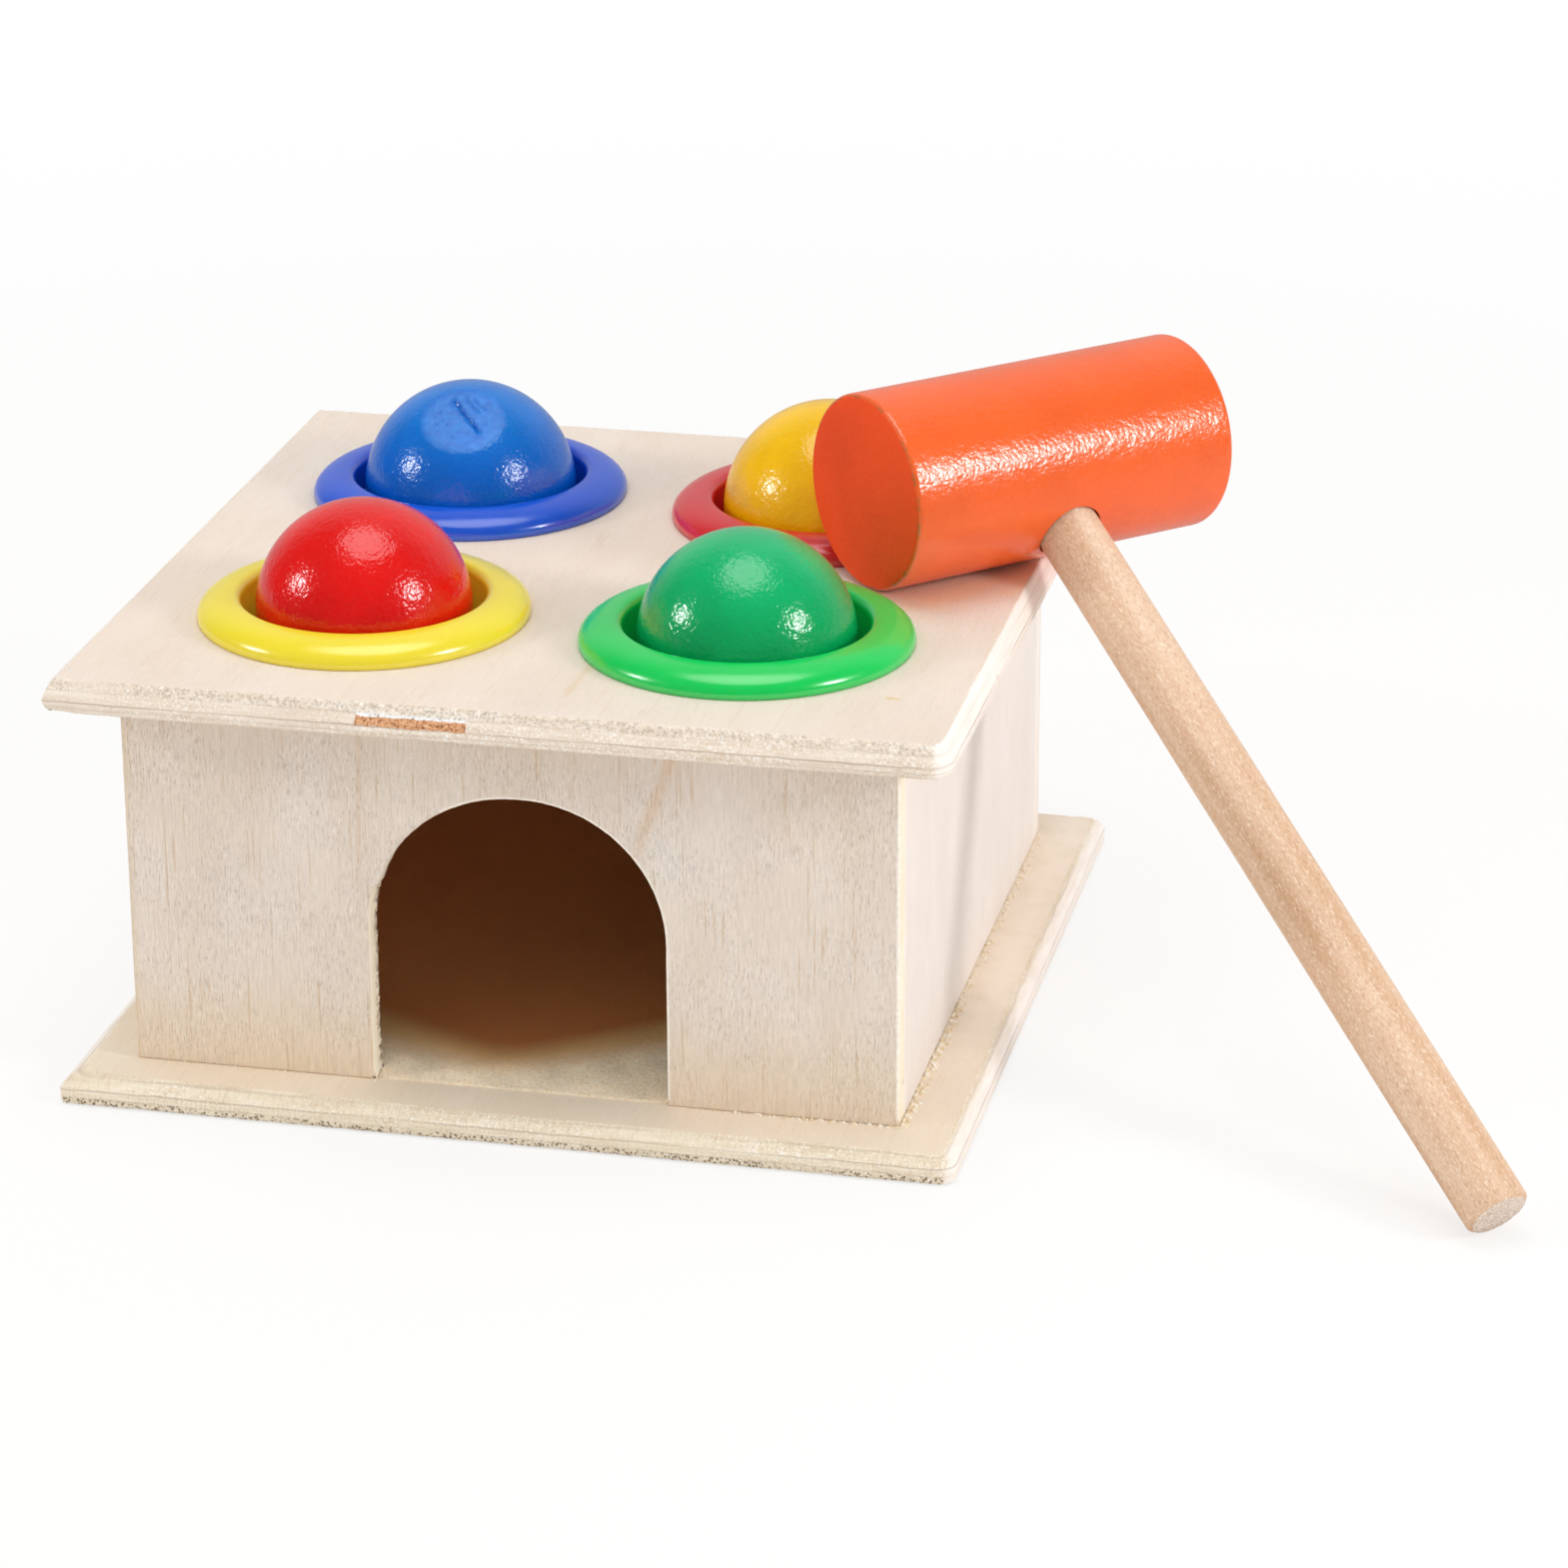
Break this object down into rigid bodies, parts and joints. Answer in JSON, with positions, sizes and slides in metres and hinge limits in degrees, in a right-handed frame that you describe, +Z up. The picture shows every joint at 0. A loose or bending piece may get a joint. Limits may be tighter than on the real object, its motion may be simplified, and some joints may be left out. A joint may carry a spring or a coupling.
{
  "type": "ball pounding toy",
  "caption": "Plywood box with an arched doorway, coloured wooden balls held in snap collars on its top, a sloping inner floor and a wooden hammer for knocking the balls through.",
  "frame": {"origin": "middle of the base board's underside", "axes": "+Z up, the doorway faces -Y, +X to the right as seen from the front"},
  "size_m": [0.1979, 0.1277, 0.088],
  "materials": {
    "plywood": "bare pale plywood, sanded",
    "fibreboard": "bare fibreboard, matte",
    "blue_plastic": "smooth moulded plastic",
    "red_plastic": "smooth moulded plastic",
    "yellow_plastic": "smooth moulded plastic",
    "green_plastic": "smooth moulded plastic",
    "blue_paint": "turned wood, gloss paint",
    "yellow_paint": "turned wood, gloss paint",
    "red_paint": "turned wood, gloss paint",
    "green_paint": "turned wood, gloss paint",
    "orange_paint": "turned wood, gloss paint",
    "beech": "bare beech dowel, sanded"
  },
  "bodies": {
    "box": {"base_board": "plywood", "front_panel": "plywood", "rear_panel": "plywood", "left_panel": "plywood", "right_panel": "plywood", "top_board": "plywood", "ramp_board": "fibreboard", "collar_blue": "blue_plastic", "collar_red": "red_plastic", "collar_yellow": "yellow_plastic", "collar_green": "green_plastic"},
    "blue_ball": {"ball_blue": "blue_paint"},
    "yellow_ball": {"ball_yellow": "yellow_paint"},
    "red_ball": {"ball_red": "red_paint"},
    "green_ball": {"ball_green": "green_paint"},
    "hammer": {"hammer_head": "orange_paint", "hammer_handle": "beech"}
  },
  "joints": [
    {"name": "blue_ball_drop", "type": "slide", "parent": "box", "child": "blue_ball", "axis": [0, 0, -1], "range_m": [-0.03, 0.0313], "deforming": ["collar_blue"]},
    {"name": "yellow_ball_drop", "type": "slide", "parent": "box", "child": "yellow_ball", "axis": [0, 0, -1], "range_m": [-0.03, 0.0313], "deforming": ["collar_red"]},
    {"name": "red_ball_drop", "type": "slide", "parent": "box", "child": "red_ball", "axis": [0, 0, -1], "range_m": [-0.03, 0.0387], "deforming": ["collar_yellow"]},
    {"name": "green_ball_drop", "type": "slide", "parent": "box", "child": "green_ball", "axis": [0, 0, -1], "range_m": [-0.03, 0.0387], "deforming": ["collar_green"]},
    {"name": "hammer_lift", "type": "slide", "parent": "box", "child": "hammer", "axis": [0, 0, 1], "range_m": [0, 0.12]}
  ]
}
